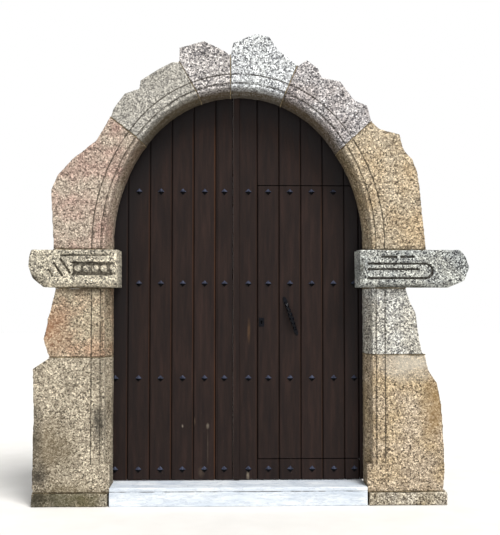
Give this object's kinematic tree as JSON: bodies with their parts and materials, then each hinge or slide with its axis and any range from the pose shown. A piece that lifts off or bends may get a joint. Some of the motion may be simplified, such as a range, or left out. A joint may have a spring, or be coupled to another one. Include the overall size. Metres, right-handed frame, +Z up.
{
  "type": "arched wooden door",
  "caption": "Arched wooden door of ledged planks with iron studs and an inset wicket with lock and pull, hung on pintles in a moulded granite surround with carved imposts and a marble step.",
  "frame": {"origin": "on the ground, in the middle of the opening, on the plane of the stones' face", "axes": "+X to the right seen from outside, +Y into the building, +Z up"},
  "size_m": [3.225, 0.41, 3.477],
  "materials": {
    "plank_wood": "satin dark brown stain with orange-brown joint edges",
    "rail_wood": "matte dark brown stain",
    "stud_iron": "blackened, half matte",
    "handle_iron": "blackened, polished by use",
    "strap_iron": "blackened, matte",
    "bolt_iron": "worn bare iron",
    "arch_stone": "tooled granite",
    "jamb_stone": "tooled granite",
    "impost_stone": "weathered carved granite",
    "footing_stone": "rough granite",
    "mortar": "lime mortar and rubble",
    "marble": "honed white marble with grey veins"
  },
  "bodies": {
    "surround": {"crown_left": "arch_stone", "footings": "footing_stone", "haunch_left": "arch_stone", "haunch_right": "arch_stone", "impost_left": "impost_stone", "impost_right": "impost_stone", "jamb_left_lower": "jamb_stone", "jamb_left_upper": "jamb_stone", "jamb_right_lower": "jamb_stone", "jamb_right_upper": "jamb_stone", "keystone": "arch_stone", "leaf_pintles": "bolt_iron", "mortar_joints": "mortar", "springer_left": "arch_stone", "springer_right": "arch_stone", "step_bed": "mortar", "step_riser": "marble", "step_tread": "marble"},
    "left_leaf": {"left_bolt_guides": "strap_iron", "left_head_rail": "rail_wood", "left_ledges": "rail_wood", "left_plank_1": "plank_wood", "left_plank_2": "plank_wood", "left_plank_3": "plank_wood", "left_plank_4": "plank_wood", "left_plank_5": "plank_wood", "left_plank_6": "plank_wood", "left_straps": "strap_iron", "left_studs": "stud_iron"},
    "right_leaf": {"cover_strip": "plank_wood", "lock_keeper": "strap_iron", "right_bolt_guides": "strap_iron", "right_bottom_rail": "rail_wood", "right_edge_plank": "plank_wood", "right_foot_planks": "plank_wood", "right_hanging_stile": "rail_wood", "right_head_rail": "rail_wood", "right_header_rail": "rail_wood", "right_meeting_stile": "rail_wood", "right_plank": "plank_wood", "right_straps": "strap_iron", "right_studs": "stud_iron", "right_upper_planks": "plank_wood", "wicket_pintles": "bolt_iron"},
    "wicket": {"key_escutcheon": "strap_iron", "lock_case": "strap_iron", "pull_handle": "handle_iron", "wicket_ledges": "rail_wood", "wicket_lock_block": "rail_wood", "wicket_plank_1": "plank_wood", "wicket_plank_2": "plank_wood", "wicket_plank_3": "plank_wood", "wicket_plank_4": "plank_wood", "wicket_plank_5": "plank_wood", "wicket_straps": "strap_iron", "wicket_studs": "stud_iron"},
    "lock_bolt": {"lock_bolt": "bolt_iron"},
    "left_foot_bolt": {"left_foot_bolt": "bolt_iron"},
    "right_foot_bolt": {"right_foot_bolt": "bolt_iron"},
    "cross_bolt": {"cross_bolt": "bolt_iron"}
  },
  "joints": [
    {"name": "left_leaf_hinge", "type": "hinge", "parent": "surround", "child": "left_leaf", "pos_m": [-1.034, 0.31408, 0.245], "axis": [0, 0, 1], "range_deg": [0, 95]},
    {"name": "right_leaf_hinge", "type": "hinge", "parent": "surround", "child": "right_leaf", "pos_m": [1.034, 0.31408, 0.245], "axis": [0, 0, 1], "range_deg": [-95, 0]},
    {"name": "wicket_hinge", "type": "hinge", "parent": "right_leaf", "child": "wicket", "pos_m": [0.93008, 0.31408, 0.929], "axis": [0, 0, 1], "range_deg": [-90, 0]},
    {"name": "lock_bolt_slide", "type": "slide", "parent": "wicket", "child": "lock_bolt", "axis": [-1, 0, 0], "range_m": [0, 0.048]},
    {"name": "left_foot_bolt_slide", "type": "slide", "parent": "left_leaf", "child": "left_foot_bolt", "axis": [0, 0, -1], "range_m": [0, 0.03]},
    {"name": "right_foot_bolt_slide", "type": "slide", "parent": "right_leaf", "child": "right_foot_bolt", "axis": [0, 0, -1], "range_m": [0, 0.03]},
    {"name": "cross_bolt_slide", "type": "slide", "parent": "right_leaf", "child": "cross_bolt", "axis": [-1, 0, 0], "range_m": [0, 0.06]}
  ]
}
